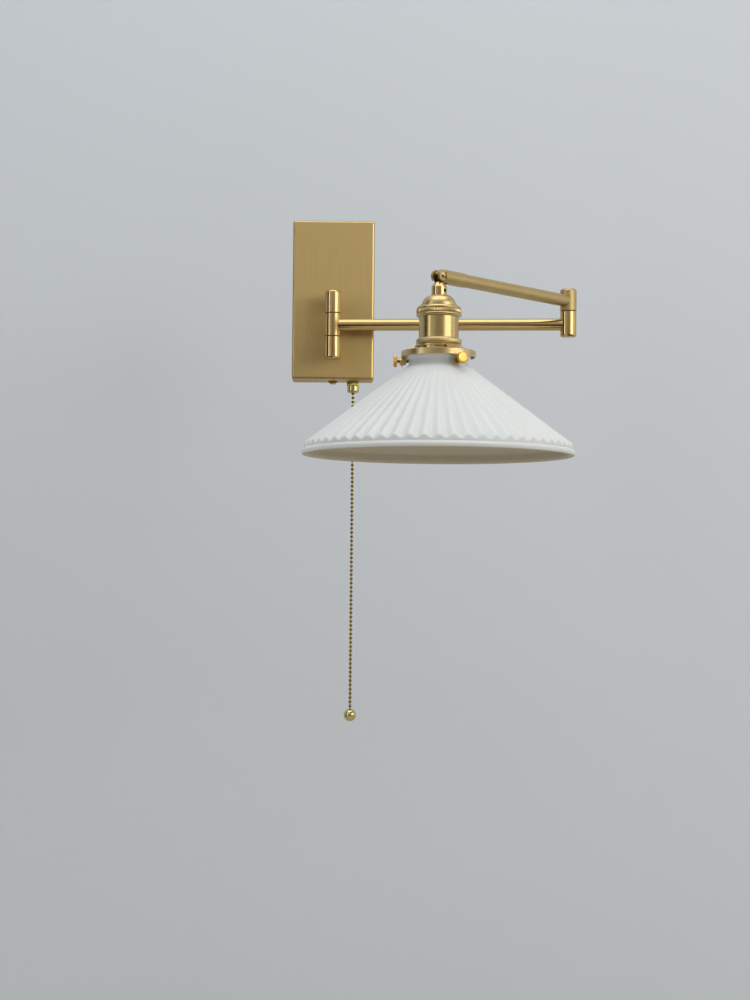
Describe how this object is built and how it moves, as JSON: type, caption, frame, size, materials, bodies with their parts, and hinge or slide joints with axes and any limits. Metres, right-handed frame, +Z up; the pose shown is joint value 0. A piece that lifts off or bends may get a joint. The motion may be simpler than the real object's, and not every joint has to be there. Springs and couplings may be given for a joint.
{
  "type": "swing arm wall lamp",
  "caption": "Brass swing arm wall lamp: box on a wall bracket, jointed tube arms, tilting lampholder with thumb screw gallery, pleated porcelain shade and bead chain switch.",
  "frame": {"origin": "centre of the bracket's back, midway between its two wall holes, on the wall", "axes": "+Z up, +Y into the wall, +X to the right as seen from the room"},
  "size_m": [0.2801, 0.3385, 0.5048],
  "materials": {
    "brushed_brass": "brushed",
    "polished_brass": "polished",
    "zinc_steel": "zinc plated",
    "dark_fibre": "matte",
    "moulded_plastic": "moulded",
    "lead_insulation": "smooth",
    "white_porcelain": "glazed",
    "plain_porcelain": "bisque",
    "opal_glass": "opal",
    "bulb_cap_metal": "satin"
  },
  "bodies": {
    "wall_mount": {"wall_bracket": "zinc_steel", "wall_box": "brushed_brass", "box_screws": "polished_brass", "screw_washers": "dark_fibre", "hinge_top_knuckle": "polished_brass", "hinge_bottom_knuckle": "polished_brass", "hinge_posts": "polished_brass", "post_washers": "zinc_steel", "post_nuts": "zinc_steel", "switch_body": "moulded_plastic", "switch_nut": "polished_brass", "switch_bell": "polished_brass", "terminal_block": "moulded_plastic", "terminal_screws": "polished_brass", "earth_screw": "polished_brass", "supply_lead": "lead_insulation", "switch_lead": "lead_insulation"},
    "first_arm": {"hinge_middle_knuckle": "polished_brass", "hinge_pin": "polished_brass", "hinge_washers": "dark_fibre", "arm_1_tube": "brushed_brass", "elbow_lower_knuckle": "polished_brass", "elbow_pin": "polished_brass", "elbow_washer": "dark_fibre", "arm_1_lead": "lead_insulation"},
    "second_arm": {"elbow_upper_knuckle": "polished_brass", "elbow_plug": "polished_brass", "arm_2_tube": "brushed_brass", "tilt_fork": "brushed_brass", "tilt_screw": "polished_brass", "tilt_nut": "polished_brass", "arm_2_lead": "lead_insulation"},
    "head": {"tilt_tongue": "polished_brass", "tilt_washers": "dark_fibre", "neck_screw": "polished_brass", "socket_nipple": "polished_brass", "socket_cap": "polished_brass", "upper_ring": "polished_brass", "socket_shell": "polished_brass", "lower_ring": "polished_brass", "socket_insulator": "plain_porcelain", "contact_shell": "polished_brass", "centre_contact": "polished_brass", "head_lead": "lead_insulation", "bulb_cap": "bulb_cap_metal", "bulb_glass": "opal_glass", "gallery": "polished_brass", "gallery_nut": "polished_brass", "shade": "white_porcelain"},
    "left_thumb_screw": {"thumb_screw_left": "polished_brass"},
    "front_thumb_screw": {"thumb_screw_front": "polished_brass"},
    "back_thumb_screw": {"thumb_screw_back": "polished_brass"},
    "pull": {"pull_chain": "polished_brass", "pull_ball": "polished_brass"}
  },
  "joints": [
    {"name": "wall_swing", "type": "hinge", "parent": "wall_mount", "child": "first_arm", "pos_m": [0, -0.052, -0.028], "axis": [0, 0, 1], "range_deg": [-170, 3]},
    {"name": "elbow_swing", "type": "hinge", "parent": "first_arm", "child": "second_arm", "pos_m": [0.23112, -0.07222, -0.028], "axis": [0, 0, -1], "range_deg": [-256, 24]},
    {"name": "head_tilt", "type": "hinge", "parent": "second_arm", "child": "head", "pos_m": [0.09745, -0.21557, -0.005], "axis": [-0.7314, 0.682, 0], "range_deg": [-5, 95]},
    {"name": "left_screw_out", "type": "slide", "parent": "head", "child": "left_thumb_screw", "axis": [-1, 0, 0], "range_m": [0, 0.004]},
    {"name": "front_screw_out", "type": "slide", "parent": "head", "child": "front_thumb_screw", "axis": [0.5, -0.866, 0], "range_m": [0, 0.004]},
    {"name": "back_screw_out", "type": "slide", "parent": "head", "child": "back_thumb_screw", "axis": [0.5, 0.866, 0], "range_m": [0, 0.004]},
    {"name": "chain_pull", "type": "slide", "parent": "wall_mount", "child": "pull", "axis": [0, 0, -1], "range_m": [0, 0.008], "stiffness_N_per_m": 300, "springref_m": -0.01}
  ]
}
